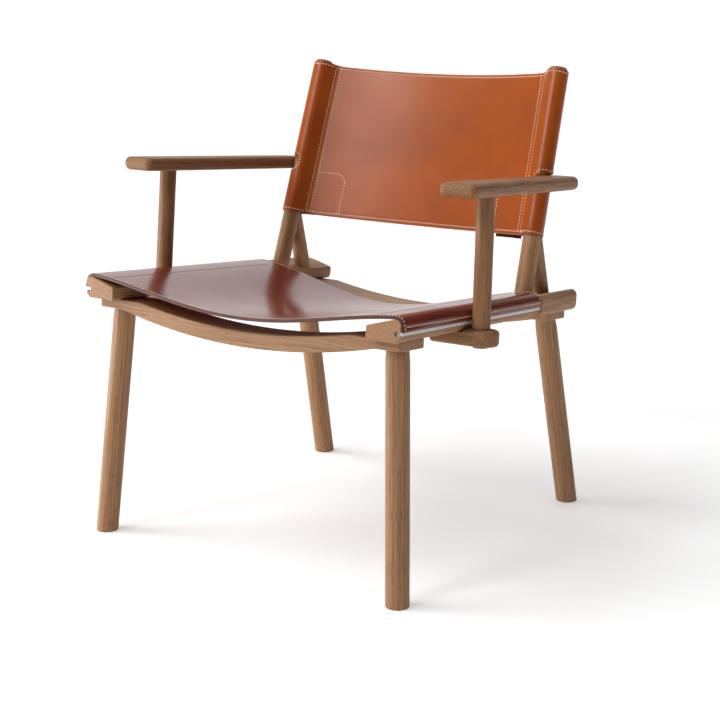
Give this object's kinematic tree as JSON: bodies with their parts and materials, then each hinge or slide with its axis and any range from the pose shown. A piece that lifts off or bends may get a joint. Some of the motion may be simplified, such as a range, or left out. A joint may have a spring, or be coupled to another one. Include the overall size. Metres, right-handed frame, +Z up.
{
  "type": "sling lounge chair",
  "caption": "Low lounge chair with a turned oak frame, flat armrests, a wrapped leather seat sling and a leather back sling sleeved over leaning posts.",
  "frame": {"origin": "on the floor, under the middle of the chair's bounding box", "axes": "+X to the right seen from the front, +Y to the back, +Z up; the chair faces -Y"},
  "size_m": [0.649, 0.5786, 0.7114],
  "materials": {
    "oak": "oiled oak, satin",
    "seat_leather": "dark oxblood brown saddle leather, polished",
    "back_leather": "cognac tan saddle leather, satin",
    "strip": "pale grey strip",
    "steel": "bright steel"
  },
  "bodies": {
    "root": {"arm_dowel_left": "oak", "arm_dowel_right": "oak", "arm_post_left": "oak", "arm_post_right": "oak", "armrest_left": "oak", "armrest_right": "oak", "back_post_left": "oak", "back_post_right": "oak", "back_sling": "back_leather", "brace_dowel_left": "oak", "brace_dowel_right": "oak", "corner_patch_left": "back_leather", "corner_patch_right": "back_leather", "front_cross_rail": "oak", "front_cross_rail_screw_a_left": "steel", "front_cross_rail_screw_a_right": "steel", "front_cross_rail_screw_b_left": "steel", "front_cross_rail_screw_b_right": "steel", "front_leg_left": "oak", "front_leg_right": "oak", "groove_rod_left": "steel", "groove_rod_right": "steel", "groove_strip_left": "strip", "groove_strip_right": "strip", "outrigger_left": "oak", "outrigger_right": "oak", "outrigger_screw_a_left": "steel", "outrigger_screw_a_right": "steel", "outrigger_screw_b_left": "steel", "outrigger_screw_b_right": "steel", "rear_cross_rail": "oak", "rear_cross_rail_screw_a_left": "steel", "rear_cross_rail_screw_a_right": "steel", "rear_cross_rail_screw_b_left": "steel", "rear_cross_rail_screw_b_right": "steel", "rear_leg_left": "oak", "rear_leg_right": "oak", "rear_strut_left": "oak", "rear_strut_right": "oak", "seat_sling": "seat_leather", "side_rail_left": "oak", "side_rail_right": "oak"}
  },
  "joints": []
}
